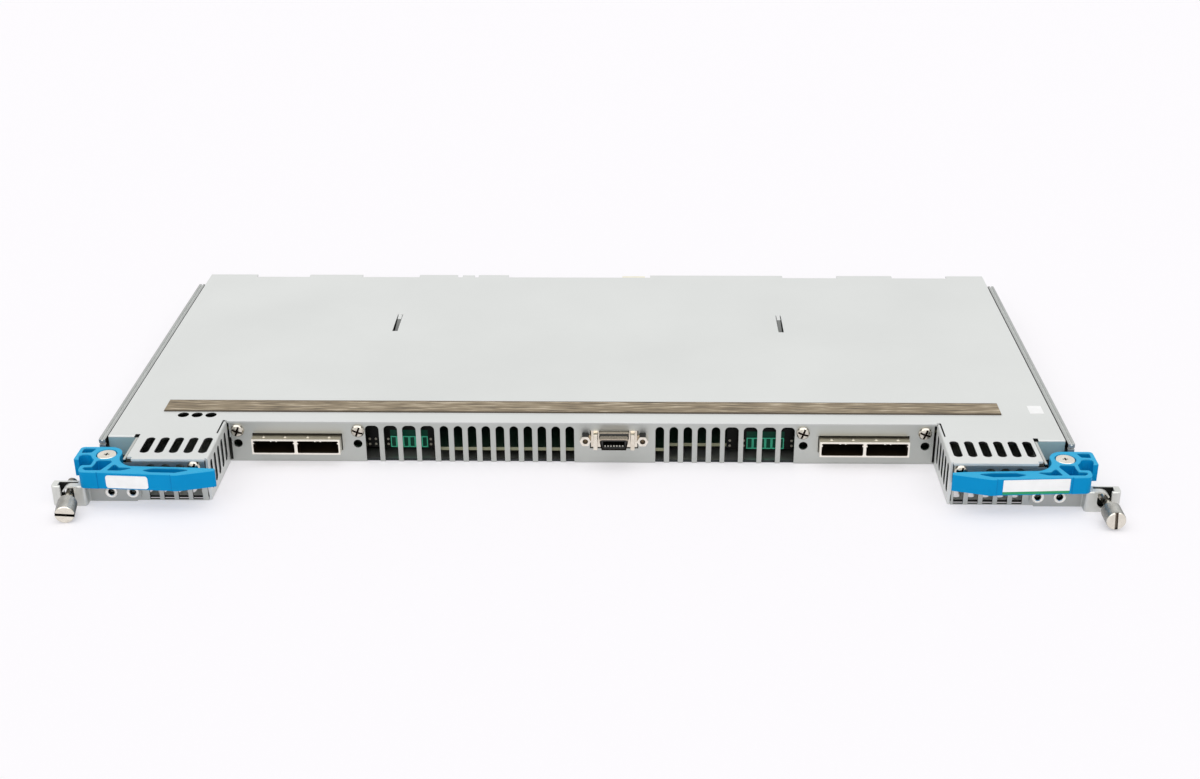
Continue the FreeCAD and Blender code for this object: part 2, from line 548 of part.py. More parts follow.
def make_cage(middle):
    """Two-port cage: folded metal sleeve with a middle wall, open in front, with dimples and latch bumps."""
    half = cage_width / 2
    y0 = panel_y - cage_ahead
    roof = board_top + cage_height
    cage = block(middle - half, middle + half, y0, y0 + cage_depth, board_top, roof)
    cuts = []
    bumps = []
    for x0, x1 in port_spans(middle):
        port = block(x0, x1, y0 - 1, y0 + cage_depth - cage_wall, board_top + cage_wall, roof - cage_wall)
        cuts.append(port.makeFillet(0.6, [e for e in port.Edges if e.BoundBox.YLength > 1]))
        centre = (x0 + x1) / 2
        for dx in (-1.1, 1.3):
            bumps.append(rod_y(0.4, y0, y0 + 1.2, centre + dx, roof - cage_wall + 0.05))
        for x in (x0 + 0.1, x1 - 0.1):
            bumps.append(rod_y(0.4, y0 + 0.1, y0 + 1.2, x, roof - cage_wall - 1.2))
        for dx in (-4.6, 4.8):
            bumps.append(Part.makeCone(0.95, 0.4, 0.35, V(centre + dx, y0 + 2.5, roof), V(0, 0, 1)))
    return cage.cut(cuts).fuse(bumps).removeSplitter()


def make_sockets(middle):
    """The two card-edge sockets inside a cage."""
    y1 = panel_y - cage_ahead + cage_depth - cage_wall
    found = []
    for x0, x1 in port_spans(middle):
        centre = (x0 + x1) / 2
        body = block(x0, x1, y1 - 18.0, y1, board_top + cage_wall, board_top + cage_height - cage_wall)
        body = body.makeFillet(0.6, [e for e in body.Edges if e.BoundBox.YLength > 1])
        mouth = block(centre - 6.6, centre + 6.6, y1 - 19.0, y1 - 10.0, board_top + 2.9, board_top + 4.1)
        found.append(body.cut(mouth))
    return group(found)


def ribbon_outline(grow):
    """D outline of the ribbon connector, grown outward."""
    x, z, g = ribbon_x, ribbon_z, grow
    right = [(5.0 + g, 2.2 + g), (5.6 + g, 2.0 + g), (5.6 + g, 0.9), (4.8 + g, -2.2 - g)]
    return [(x + u, z + v) for u, v in right] + [(x - u, z + v) for u, v in reversed(right)]


def make_ribbon_shell():
    """Drawn metal shell on a flange, with a groove around it and an upright plate on each side."""
    flange = block(ribbon_x - 10.2, ribbon_x + 10.2, panel_y + 0.4, panel_y + 1.4, ribbon_z - 5.2,
                   ribbon_z + 2.9)
    skirt = prism_y(ribbon_outline(0.9), panel_y - 2.6, panel_y + 0.6)
    neck = prism_y(ribbon_outline(0.25), panel_y - 4.4, panel_y)
    shell = prism_y(ribbon_outline(0.5), panel_y - ribbon_ahead, panel_y - 4.2)
    plates = []
    for side in (-1, 1):
        lo, hi = sorted((ribbon_x + side * 7.2, ribbon_x + side * 9.0))
        plates.append(block(lo, hi, panel_y - 3.0, panel_y + 0.6, ribbon_z - 5.0, ribbon_z + 2.2))
    body = flange.fuse([skirt, neck, shell] + plates).removeSplitter()
    return body.cut(prism_y(ribbon_outline(0.0), panel_y - ribbon_ahead - 1, panel_y + 3))


def make_ribbon_insulator():
    """Dark body on the board, the tongue housing inside the shell and the dark band in the shell's groove."""
    nose = prism_y(ribbon_outline(-0.02), panel_y - ribbon_ahead + 0.5, panel_y + 1.5)
    body = block(ribbon_x - 9.6, ribbon_x + 9.6, panel_y + 1.4, panel_y + 15.0, board_top, under_cover - 1.5)
    cavity = block(ribbon_x - 4.7, ribbon_x + 4.7, panel_y - ribbon_ahead, panel_y - 1.0,
                   ribbon_z - 1.5, ribbon_z + 1.5)
    band = prism_y(ribbon_outline(0.7), panel_y - 4.2, panel_y - 2.6)
    band = band.cut(prism_y(ribbon_outline(0.25), panel_y - 5, panel_y - 2))
    return group([body.fuse(nose).removeSplitter().cut(cavity), band])


def make_ribbon_contacts():
    """Two rows of contact blades inside the tongue housing."""
    found = []
    for i in range(7):
        x = ribbon_x + 1.27 * (i - 3)
        for z in (ribbon_z - 1.5, ribbon_z + 1.0):
            found.append(block(x - 0.3, x + 0.3, panel_y - ribbon_ahead + 1.2, panel_y - 1.0, z, z + 0.5))
    return group(found)


def make_jackscrew(x):
    """Six-sided jackscrew with a threaded mouth, its stud through the panel."""
    r = 2.5
    turns = [math.radians(60 * i) for i in range(6)]
    corners = [(x + r * math.cos(a), ribbon_z + r * math.sin(a)) for a in turns]
    head = prism_y(corners, panel_y - 4.6, panel_y)
    stud = rod_y(1.2, panel_y - 0.5, panel_y + 3.0, x, ribbon_z)
    mouth = rod_y(1.2, panel_y - 5, panel_y - 1.6, x, ribbon_z)
    return head.fuse(stud).cut(mouth)


def make_board():
    """Circuit board with a stepped front edge."""
    front = panel_y + board_setback
    back = front + board_step
    wing = back + 14.0
    side = body_half - 4.1
    left = [left_in + 0.9, left_wide[0] - 3.8, left_slim[0] - 3.5]
    right = [right_slim[0] + 3.1, right_wide[-1] + 4.1, right_in - 1.8]
    plan = [(-side, rear_y - 6.0), (-side, wing), (left[0], wing), (left[0], front), (left[1], front),
            (left[1], back), (left[2], back), (left[2], front), (right[0], front), (right[0], back),
            (right[1], back), (right[1], front), (right[2], front), (right[2], wing), (side, wing),
            (side, rear_y - 6.0)]
    board = prism(plan, board_z, board_top)
    return board.cut([rod(1.4, board_z - 1, board_top + 1, x, y) for x, y in stand_places])


stand_places = [(sx * px, py) for sx in (-1, 1) for px, py in
                ((body_half - 12.6, rear_y - 36.0), (body_half - 12.6, panel_y + 30.0),
                 (86.0, rear_y - 50.0), (86.0, panel_y + 42.0))]


def make_standoff(x, y):
    return rod(3.0, sheet, board_z, x, y).cut(rod(1.4, sheet + 0.6, board_z + 1, x, y))


def make_board_screw(x, y):
    return turned([(-2.8, 0), (-2.8, 1.4), (0, 1.4), (0, 2.8), (1.2, 2.8), (1.8, 1.8), (1.8, 0)],
                  V(x, y, board_top), V(0, 0, 1))


def make_indicators(lenses, first_window):
    """Upright card behind the wide slots: round lenses and a row of six framed windows."""
    y = panel_y + board_setback + board_step
    z = board_top - 1.9
    row = first_window + 6 * window_pitch
    x0 = min(lenses + [first_window]) - 1.3
    x1 = max(lenses + [row]) + 1.3
    card = block(x0, x1, y - 1.3, y - 0.3, z - 0.2, z + 10.0)
    raised = [rod_y(0.55, y - 1.6, y - 1.0, x, z + dz) for x in lenses for dz in (1.5, 4.0)]
    for i in range(6):
        x = first_window + window_pitch * i
        frame = block(x, x + window_pitch - 0.1, y - 1.55, y - 1.0, z, z + 5.4)
        raised.append(frame.cut(block(x + 0.4, x + window_pitch - 0.5, y - 2, y - 1.3, z + 0.45, z + 4.95)))
    return card.fuse(raised).removeSplitter()


def make_lamp(x):
    """Panel lamp that looks through a round hole."""
    y = panel_y + board_setback
    body = block(x - 2.0, x + 2.0, y + 1.6, y + 6.0, board_top, lamp_z + 2.0)
    return body.fuse(rod_y(1.4, y + 0.2, y + 2.0, x, lamp_z))


def make_rear_connector(x, width):
    """Right-angle board connector with a row of wafer slots in its rear face."""
    back = rear_y - notch_depth + 1.6
    body = block(x - width / 2, x + width / 2, back - 19.0, back, board_top, under_cover - 1.6)
    foot = block(x - width / 2, x + width / 2, rear_y - 5.6, back, board_z, board_top)
    count = int(width / 3.6)
    rows = columns(x - 1.7 * (count - 1), count, 3.4)
    slots = [block(c - 0.7, c + 0.7, back - 5.0, back + 1, board_top + 1.2, under_cover - 3.0) for c in rows]
    return body.fuse(foot).removeSplitter().cut(slots)


def make_guide(x, width, crest):
    """Guide socket beside the rear connectors, with a lead-in mouth and a crest along its rear top edge."""
    back = rear_y - 0.6
    body = block(x - width / 2, x + width / 2, back - 18.0, back, board_top, under_cover - 1.6)
    mouth = turned([(0, 0), (0, guide_r), (12.0, guide_r), (13.6, guide_r + 1), (15.0, guide_r + 1),
                    (15.0, 0)],
                   V(x, back - 13.6, (board_top + under_cover - 1.6) / 2), V(0, 1, 0))
    ridge = block(x - width / 2, x + width / 2, rear_y - notch_depth + 0.4, back, under_cover - 2, crest)
    return body.fuse(ridge).removeSplitter().cut(mouth)


def make_chip(x, y):
    half = chip_half
    return block(x - half, x + half, y - half, y + half, board_top, board_top + chip_height)


def make_sink(x, y):
    """Finned heat sink on a switch chip."""
    z0 = board_top + chip_height
    base = block(x - sink_half, x + sink_half, y - sink_deep, y + sink_deep, z0, z0 + sink_plate)
    fins = [block(fin, fin + fin_thick, y - sink_deep, y + sink_deep, z0 + sink_plate / 2, under_cover - 1.2)
            for fin in columns(x - sink_half, int((2 * sink_half - fin_thick) / fin_pitch) + 1, fin_pitch)]
    return base.fuse(fins).removeSplitter()


def make_label(u0, u1, z0, z1, corner, side):
    """Thin label with round corners on the straight front face of a lever."""
    slope = math.degrees(math.atan(label_slope))
    label = block(0, u1 - u0, -0.12, 0, z0, z1)
    corners = [e for e in label.Edges
               if e.BoundBox.YLength > 0.1 and max(e.BoundBox.XLength, e.BoundBox.ZLength) < 0.1]
    label = label.makeFillet(corner, corners)
    label.rotate(V(0, 0, 0), V(0, 0, 1), slope)
    v0 = label_front + (u0 + 5.0) * label_slope
    label.translate(V(-pivot_x + u0, pivot_y + v0, 0))
    return label if side < 0 else mirrored(label)


lever = make_lever()
bracket = make_bracket()
pivot_screw = make_pivot_screw()
rail = make_rail()

pieces = {
    "base_tray": make_tray(),
    "top_cover": make_cover(),
    "left_rail": mirrored(rail),
    "right_rail": rail,
    "left_bracket": mirrored(bracket),
    "right_bracket": bracket,
    "bracket_eyelets": group([make_eyelet(s * x) for s in (-1, 1) for x in eyelet_out]),
    "left_lever": lever,
    "right_lever": mirrored(lever),
    "left_pivot_screw": pivot_screw,
    "right_pivot_screw": mirrored(pivot_screw),
    "left_thumbscrew": make_thumbscrew(-screw_x, screw_z + screw_float, left_yaw, left_droop, left_push, -9),
    "right_thumbscrew": make_thumbscrew(screw_x + screw_float, screw_z, 0, 0, 0, 94),
    "gasket_strip": block(17.8 - body_half, body_half - 22.3, panel_y + 8.8, panel_y + 19.9,
                          body_height, body_height + gasket_height),
    "panel_screws": group([pan_screw(x, panel_y, panel_screw_z, 2.9, 4.0) for x in panel_screw_x]),
    "shoulder_screws": group([pan_screw(x, box_y, z, 2.7, 3.6) for x, z in box_screws]),
    "circuit_board": make_board(),
    "left_port_cage": make_cage(left_cage_x),
    "right_port_cage": make_cage(right_cage_x),
    "left_port_sockets": make_sockets(left_cage_x),
    "right_port_sockets": make_sockets(right_cage_x),
    "ribbon_shell": make_ribbon_shell(),
    "ribbon_insulator": make_ribbon_insulator(),
    "ribbon_contacts": make_ribbon_contacts(),
    "ribbon_jackscrews": group([make_jackscrew(ribbon_x + s * jack_half) for s in (-1, 1)]),
    "left_indicators": make_indicators([left_wide[0] - 2.3, left_wide[0] + 0.4, left_wide[1] - 2.2,
                                        left_wide[3] + 0.4], left_wide[1] - 1.1),
    "right_indicators": make_indicators([right_wide[0] - 0.4, right_wide[1] - 2.4, right_wide[3] + 2.4],
                                        right_wide[1] - 1.1),
    "panel_lamps": group([make_lamp(x) for x in lamp_x]),
    "left_switch_chip": make_chip(left_chip_x, chip_y),
    "right_switch_chip": make_chip(right_chip_x, chip_y),
    "left_heat_sink": make_sink(left_chip_x, chip_y),
    "right_heat_sink": make_sink(right_chip_x, chip_y),
    "memory_chips": group([block(x - 6, x + 6, y - 4, y + 4, board_top, board_top + memory_height)
                           for x in (left_chip_x - sink_half - 20.0, right_chip_x - sink_half - 24.0)
                           for y in (chip_y - 12.0, chip_y + 4.0)]),
    "power_modules": group([block(s * module_x - module_half, s * module_x + module_half, rear_y - 85.5,
                                  rear_y - 63.5, board_top, board_top + module_height) for s in (-1, 1)]),
    "power_coils": group([block(x - coil_half, x + coil_half, y - coil_half, y + coil_half,
                                board_top, board_top + coil_height)
                          for x in (10.0 - module_x, module_x - 10.0)
                          for y in (rear_y - 109.5, rear_y - 95.5)]),
    "capacitors": group([rod(can_r, board_top, board_top + can_height, x, y)
                         for x in (-module_x - 14, -module_x - 6, module_x + 6, module_x + 14)
                         for y in (rear_y - 109.5, rear_y - 99.5)]),
    "rear_connector_1": make_rear_connector(*rear_connectors[0]),
    "rear_connector_2": make_rear_connector(*rear_connectors[1]),
    "rear_connector_3": make_rear_connector(*rear_connectors[2]),
    "rear_connector_4": make_rear_connector(*rear_connectors[3]),
    "rear_connector_5": make_rear_connector(*rear_connectors[4]),
    "rear_guide_dark": make_guide(*rear_guides[0]),
    "rear_guide_pale": make_guide(*rear_guides[1]),
    "board_standoffs": group([make_standoff(x, y) for x, y in stand_places]),
    "board_screws": group([make_board_screw(x, y) for x, y in stand_places]),
    "left_lever_label": make_label(3.9, 21.8, lever_z + 0.5, lever_z + 6.4, 1.2, -1),
    "right_lever_label": make_label(1.4, 29.1, lever_z + 0.4, lever_z + 7.1, 0.3, 1),
    "cover_label": block(body_half - 9.5, body_half - 3.4, rear_y - 163.7, rear_y - 155.9,
                         body_height, body_height + 0.12),
}

os.makedirs("parts", exist_ok=True)
for name, shape in pieces.items():
    shape.exportStep("parts/" + name + ".step")
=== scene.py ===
import math

import bpy
from mathutils import Matrix, Vector


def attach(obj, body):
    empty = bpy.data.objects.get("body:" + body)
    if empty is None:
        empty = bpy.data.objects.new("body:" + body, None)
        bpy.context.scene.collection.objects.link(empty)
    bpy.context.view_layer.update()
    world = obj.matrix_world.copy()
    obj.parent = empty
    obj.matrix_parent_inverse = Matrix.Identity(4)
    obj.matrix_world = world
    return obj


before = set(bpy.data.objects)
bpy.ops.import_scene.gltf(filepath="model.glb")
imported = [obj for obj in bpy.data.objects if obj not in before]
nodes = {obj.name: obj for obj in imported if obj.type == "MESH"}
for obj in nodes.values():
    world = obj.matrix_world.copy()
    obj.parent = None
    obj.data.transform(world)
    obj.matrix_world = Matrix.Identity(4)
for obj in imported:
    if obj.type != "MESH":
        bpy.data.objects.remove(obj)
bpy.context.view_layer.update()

collection = bpy.context.scene.collection
MM = 0.001

# Places of the housing in millimetres, as the CAD has them
panel_y = -58.6                                # front of the recessed port panel
box_y = -94.0                                  # front of the shoulder boxes
box_half = 192.5                               # outer walls of the shoulder boxes
left_in, right_in = -156.9, 152.8              # their inner walls
lip_y = -73.7                                  # folded lips beside the levers
left_cage_x, right_cage_x = -126.4, 121.6
ear_y = -99.5
screw_x = 216.2
left_screw_at = (-screw_x, -94.7, 5.7)
right_screw_at = (screw_x + 1.0, -94.7, 4.7)
left_screw_axis = (0.164539, -0.983245, -0.078459)
right_screw_axis = (0.0, -1.0, 0.0)
knob_end = 20.8                                # from a thumbscrew's place to its end face
left_slip = 0.7                                # how far the loose left one has slipped back
hole_walls = (19.0, 19.84)                     # walls of a hole in the cover, short of its rim
left_top = (-box_half + 3, left_in - 1.5)      # tops of the shoulder boxes
right_top = (right_in + 1.5, box_half - 3)


# Finishes

def linear(code):
    """sRGB hex colour as linear RGBA."""
    channels = [int(code[i:i + 2], 16) / 255 for i in (1, 3, 5)]
    return [c / 12.92 if c <= 0.04045 else ((c + 0.055) / 1.055) ** 2.4 for c in channels] + [1.0]


def add(tree, kind, inputs=None, stops=(), **settings):
    """One node with its settings. An input is a constant, or (node, output) for a link; stops fill a ramp."""
    node = tree.nodes.new("ShaderNode" + kind)
    for name, value in settings.items():
        setattr(node, name, value)
    for name, value in (inputs or {}).items():
        if isinstance(value, tuple) and isinstance(value[0], bpy.types.Node):
            tree.links.new(value[0].outputs[value[1]], node.inputs[name])
        else:
            node.inputs[name].default_value = value
    for i, (place, colour) in enumerate(stops):
        ramp = node.color_ramp.elements
        stop = ramp[i] if i < 2 else ramp.new(place)
        stop.position, stop.color = place, linear(colour)
    return node


def inside(tree, place, spans, stand=None):
    """Mask of a box that spans from low to high along each axis, or all along one that is None, in the
    object's own millimetres or in those of a stand: its place and its turn."""
    where = (place, "Object")
    if stand:
        turned = {"Vector": where, "Location": Vector(stand[0]) * MM, "Rotation": stand[1]}
        where = (add(tree, "Mapping", turned, vector_type="TEXTURE"), "Vector")
    split = add(tree, "SeparateXYZ", {"Vector": where})
    mask = None
    for axis, span in zip("XYZ", spans):
        if span:
            low, high = span
            middle, half = (low + high) / 2 * MM, (high - low) / 2 * MM
            near = add(tree, "Math", {0: (split, axis), 1: middle, 2: half}, operation="COMPARE")
            if mask is not None:
                near = add(tree, "Math", {0: (mask, 0), 1: (near, 0)}, operation="MULTIPLY")
            mask = near
    return mask


def both(x0, x1, y, z, colour):
    """The same patch on the left and on the right of the board."""
    return [((-x1, -x0), y, z, colour), ((x0, x1), y, z, colour)]


def finish(name, colours, cell, bump_cell, bump, rough, stretch=1.0, patches=(), **sockets):
    """Material whose colour and roughness drift over cells of cell mm, drawn out along the width by stretch,
    over a fine bump of bump_cell mm. Patches are boxes of the piece that take a colour of their own."""
    material = bpy.data.materials.new(name)
    material.use_nodes = True
    tree = material.node_tree
    tree.nodes.clear()
    place = add(tree, "TexCoord")
    drawn = add(tree, "Mapping", {"Vector": (place, "Object"), "Scale": (1 / stretch, 1.0, 1.0)})
    drift = add(tree, "TexNoise", {"Vector": (drawn, "Vector"), "Scale": 1000.0 / cell, "Detail": 4.0})
    stops = [(0.3 + 0.4 * i / (len(colours) - 1), c) for i, c in enumerate(colours)]
    colour = (add(tree, "ValToRGB", {"Fac": (drift, "Fac")}, stops), "Color")
    for x, y, z, other, *stand in patches:
        mask = inside(tree, place, (x, y, z), *stand)
        colour = (add(tree, "Mix", {0: (mask, 0), 6: colour, 7: linear(other)}, data_type="RGBA"), 2)
    spread = add(tree, "MapRange", {"Value": (drift, "Fac"), "From Min": 0.3, "From Max": 0.7,
                                    "To Min": rough[0], "To Max": rough[1]})
    grit = add(tree, "TexNoise", {"Vector": (drawn, "Vector"), "Scale": 1000.0 / bump_cell, "Detail": 2.0})
    relief = add(tree, "Bump", {"Height": (grit, "Fac"), "Strength": bump, "Distance": 0.1 * MM})
    shader = add(tree, "BsdfPrincipled", {"Base Color": colour, "Roughness": (spread, "Result"),
                                          "Normal": (relief, "Normal"), **sockets})
    add(tree, "OutputMaterial", {"Surface": (shader, 0)})
    return material


# Zinc-plated steel sheet, rolled and clear passivated: the fine crystals scatter light almost like paint, so
# it is pale and even from all sides. Its slits, vents, holes and corner notches are painted with shade over
# their bare cut edges, and the lanced tongues are painted with shade too; the folded lips take a painted blue
# reflection of the levers, and a painted line of shade runs along the fold over the panel.
flank_slits = (box_y + 1.6, panel_y - 1.6)
vents = (box_y + 4.6, box_y + 20.6)
relief_slits = (panel_y - 12.1, panel_y + 0.7)
corner_notches = (lip_y - 0.1, lip_y + 2.1)
# painted shade in the slits, vents, holes and corner notches of the cover
cover_cut_shade = [((left_in - 0.88, left_in - 0.12), flank_slits, (3.0, 17.3), "#0E0F0F"),
           ((right_in + 0.12, right_in + 0.88), flank_slits, (3.0, 17.3), "#0E0F0F"),
           (left_top, vents, hole_walls, "#1C1D1C"),
           (right_top, vents, hole_walls, "#1C1D1C"),
           ((-182.0, -160.0), (panel_y + 2.8, panel_y + 8.6), hole_walls, "#1C1D1C"),
           ((left_in - 1.75, left_in - 0.95), relief_slits, (3.0, 19.9), "#0E0F0F"),
           ((right_in + 0.95, right_in + 1.75), relief_slits, (3.0, 19.9), "#0E0F0F"),
           *both(190.9, 193.3, corner_notches, (8.0, 19.85), "#141414")]
# painted shade on the lanced tongues, darkest at their front ends
for x in (-96.4, 93.0):
    tongue = (x - 1.35, x + 1.35)
    cover_cut_shade += [(tongue, (40.4, 57.0), (16.0, 19.88), "#767876"),
                (tongue, (40.4, 42.2), (16.0, 19.88), "#161716")]
# painted blue reflection of the levers on the folded lips
lips = both(193.1, 204.8, (lip_y - 0.2, lip_y + 1.1), (10.0, 19.3), "#ACC9CD")
# painted line of shade along the fold over the panel
brow_shade = ((left_in, right_in), (panel_y - 0.6, panel_y - 0.32), (18.9, 19.75), "#B9BBB9")
cover_zinc = finish("zinc_plated_cover_sheet", ("#D7D9D7", "#DCDEDC"), 60.0, 0.7, 0.04, (0.42, 0.46),
                    patches=[*cover_cut_shade, *lips, brow_shade], Metallic=0.25)
# The same sheet in the tray, a shade greyer, with painted shade at the feet and on the walls of its slots
# and in its corner notches, and a painted line of shade where the cover hangs over the shoulder boxes
# painted shade at the feet of the panel slots
tray_shade = [((left_in, right_in), (panel_y + 1.2, panel_y + 1.6), (-0.1, 1.02), "#3A3D3F")]
# painted shade under the cover's edge, on the slot walls of the shoulder fronts and at their feet
for front in ((-box_half + 0.2, left_in - 1.2), (right_in + 1.2, box_half - 0.2)):
    tray_shade += [(front, (box_y - 0.1, box_y + 0.3), (18.35, 19.1), "#5B5F61"),
                  (front, (box_y + 0.13, box_y + 1.2), (0.3, 18.0), "#2A2B2B"),
                  (front, (box_y + 0.02, box_y + 4.5), (0.3, 1.3), "#141414")]
# painted shade in the corner notches beside the panel
for corner in ((left_in - 1.3, left_in + 0.3), (right_in - 0.3, right_in + 1.3)):
    tray_shade.append((corner, (panel_y - 0.2, panel_y + 1.2), (16.5, 19.1), "#0E0E0E"))
# painted shade in the notches at the outer corners
tray_shade += both(190.9, 193.4, (lip_y - 0.2, lip_y + 2.1), (12.0, 19.1), "#111111")
tray_shade += both(188.8, 192.6, (box_y - 0.1, box_y + 1.3), (17.9, 19.1), "#141414")
tray_zinc = finish("zinc_plated_tray_sheet", ("#B5B8B4", "#BDBFBB"), 30.0, 0.7, 0.06, (0.38, 0.44),
                   patches=tray_shade, Metallic=0.9)
# Extruded aluminium, etched: a shade darker than the sheet, with painted shade in the seam beside the cover,
# and the groove painted bright, a painted light over its own shade
seam_shade = both(204.5, 205.5, (-77.0, 105.0), (1.0, 19.25), "#2C2D2C")
groove_light = both(206.5, 207.3, (-77.0, 105.0), (18.4, 19.2), "#D6D8D6")
rail_metal = finish("etched_aluminium_rail", ("#A8AAA8", "#B1B3B1"), 20.0, 0.5, 0.08, (0.42, 0.52),
                    patches=seam_shade + groove_light, Metallic=0.85)
# Zinc die casting, tumbled: soft grey with a grainy skin; painted shade in the screw pockets of the ears, and
# the front flange painted darker, a painted shade on its front faces
pocket = (ear_y + 3.35, ear_y + 4.6)
pocket_and_flange_shade = [((-screw_x - 4.2, -screw_x + 4.2), pocket, (-1.0, 9.1), "#2B2C2B"),
             ((screw_x - 4.2, screw_x + 4.2), pocket, (-1.0, 9.4), "#2B2C2B"),
             ((-208.0, 208.0), (box_y - 1.3, box_y - 0.85), (-0.1, 9.0), "#AFB0AC")]
cast_zinc = finish("die_cast_zinc", ("#CBCCC8", "#D7D8D4"), 6.0, 0.6, 0.18, (0.40, 0.52),
                   patches=pocket_and_flange_shade, Metallic=0.7)
# Nickel plating on turned steel: warm and bright, with painted shade in the cross recesses of the pivot heads
cross_shade = both(200.7, 203.3, (-87.1, -84.5), (16.4, 17.3), "#1A1816")
nickel = finish("nickel_plated_steel", ("#D6D0C5", "#E4DFD5"), 5.0, 0.4, 0.04, (0.18, 0.28),
                patches=cross_shade, Metallic=1.0)
# Rolled eyelets: bright rims around bores painted with shade
bores = []
for x in (199.0, 189.9):
    bores += both(x - 1.45, x + 1.45, (box_y - 1.2, box_y + 2.0), (2.95, 5.85), "#0B0B0A")
eyelet_nickel = finish("rolled_nickel_eyelets", ("#F0ECE4", "#F8F5EE"), 2.0, 0.4, 0.04, (0.25, 0.35),
                       patches=bores, Metallic=0.85)
# Screws in the same plating, rolled and tumbled: mirror-bright domes with painted shade in their cross recesses
panel_heads = (panel_y - 1.15, panel_y - 0.8)
box_heads = (box_y - 1.15, box_y - 0.8)
recesses = [((x - 2.3, x + 2.3), panel_heads, (13.2, 17.8), "#1C1611") for x in (-152.5, -99.5, 95.0, 147.9)]
recesses += [((x - 2.2, x + 2.2), box_heads, (14.1, 18.5), "#1C1611") for x in (-162.8, 157.0)]
screw_nickel = finish("nickel_plated_pan_screws", ("#B9B3A8", "#D6D0C5"), 1.5, 0.4, 0.04, (0.14, 0.24),
                      patches=recesses, Metallic=1.0)
# Thumbscrews turned from bar: bright end faces, painted shade in the screwdriver slots, a duller tail
left_turn = (Matrix.Rotation(math.radians(9.5), 3, "Z") @ Matrix.Rotation(math.radians(94.5), 3, "X")
             @ Matrix.Rotation(math.radians(-9), 3, "Z"))
right_turn = Matrix.Rotation(math.radians(90), 3, "X") @ Matrix.Rotation(math.radians(94), 3, "Z")
left_stand = (left_screw_at, left_turn.to_euler())
right_stand = (right_screw_at, right_turn.to_euler())
head, slot = (-4.0, 4.0), (-0.8, 0.8)
left_end = knob_end - left_slip
# painted shade in the screwdriver slots; the left tail painted a duller grey
slot_shade_and_tail = [(head, slot, (left_end - 1.2, left_end - 0.08), "#0A0908", left_stand),
         (head, slot, (knob_end - 1.2, knob_end - 0.08), "#6E655A", right_stand),
         (head, head, (-8.0, -0.5), "#77736B", left_stand)]
thumb_nickel = finish("nickel_plated_thumbscrews", ("#D8D2C6", "#E6E1D6"), 3.0, 0.4, 0.05, (0.22, 0.32),
                      patches=slot_shade_and_tail, Metallic=1.0)
# Knurled steel: the rolled diamonds catch dark and light in turn; they are drawn a little coarser than they are
knurled_steel = finish("knurled_steel", ("#7F7F7C", "#92928F"), 3.0, 0.4, 0.05, (0.28, 0.38), Metallic=1.0)
# Nickel-plated sheet of the port cages: bright rims, a painted brownish shade on top and a dark painted
# shade inside, with the sockets behind
cage_shade = []
for x in (left_cage_x, right_cage_x):
    roof = (panel_y - 4.4, panel_y + 1.0)
    cage_shade += [((x - 19.0, x + 19.0), (panel_y - 4.6, panel_y + 40.0), (6.2, 12.6), "#5E4E3A"),
                   ((x - 20.0, x + 20.0), roof, (12.75, 13.3), "#A89F8C"),
                   ((x - 20.0, x + 20.0), roof, (13.22, 13.8), "#BAB2A2")]
cage_nickel = finish("nickel_plated_cage_sheet", ("#EFE9DD", "#F7F2E8"), 8.0, 0.5, 0.06, (0.28, 0.38),
                     patches=cage_shade, Metallic=0.9)
# Drawn tin-plated shell of the ribbon connector: bright plates, with painted brown reflections and shade
# along its top and painted shade down its sides
shell_shade = [((5.7, 19.8), (panel_y - 8.0, panel_y - 0.1), (9.5, 16.4), "#1E1A15"),
               ((6.1, 19.4), (panel_y - 8.0, panel_y - 4.2), (14.7, 16.4), "#A3988A"),
               ((6.1, 19.4), (panel_y - 2.7, panel_y - 0.9), (14.7, 16.4), "#A3988A")]
shell_tin = finish("tin_plated_shell", ("#D9D0C1", "#EBE4D8"), 3.0, 0.4, 0.05, (0.2, 0.3),
                   patches=shell_shade, Metallic=1.0)
# Six-sided jackscrews: bright fronts, painted shade in the mouths, a painted dark reflection along the top
jack_x = (0.3, 25.2)
mouths = [((x - 1.25, x + 1.25), (panel_y - 4.5, panel_y), (11.6, 14.2), "#8A8072") for x in jack_x]
mouths += [((x - 1.6, x + 1.6), (panel_y - 4.4, panel_y + 0.5), (14.3, 15.4), "#14110D") for x in jack_x]
jack_nickel = finish("nickel_plated_jackscrews", ("#D9D2C6", "#F0EADF"), 1.2, 0.4, 0.04, (0.15, 0.25),
                     patches=mouths, Metallic=1.0)
# Moulded ABS, dyed blue, with a satin skin and a painted sheen on top; a painted line of shade in each of the
# two low stepped corners of the front
sheen_and_step_shade = [(None, None, (17.2, 17.8), "#3AAEDC")]
for x in (201.7, 170.4):
    sheen_and_step_shade += both(x - 0.2, x + 0.2, (-110.0, -99.5), (9.0, 17.5), "#0082BE")
blue_abs = finish("moulded_blue_abs", ("#008CC7", "#0191CC"), 12.0, 0.45, 0.10, (0.42, 0.5), patches=sheen_and_step_shade,
                  Metallic=0.0, IOR=1.53, **{"Specular IOR Level": 0.07})
# Moulded glass-filled plastic of the connectors: matt with a faint grain, black, and ivory in one socket
black_plastic = finish("moulded_black_plastic", ("#0D0D0C", "#161513"), 3.0, 0.4, 0.12, (0.45, 0.58),
                       Metallic=0.0, IOR=1.55)
pale_plastic = finish("moulded_ivory_plastic", ("#EDE8D3", "#F3EFDD"), 4.0, 0.4, 0.1, (0.4, 0.5),
                      Metallic=0.0, IOR=1.55)
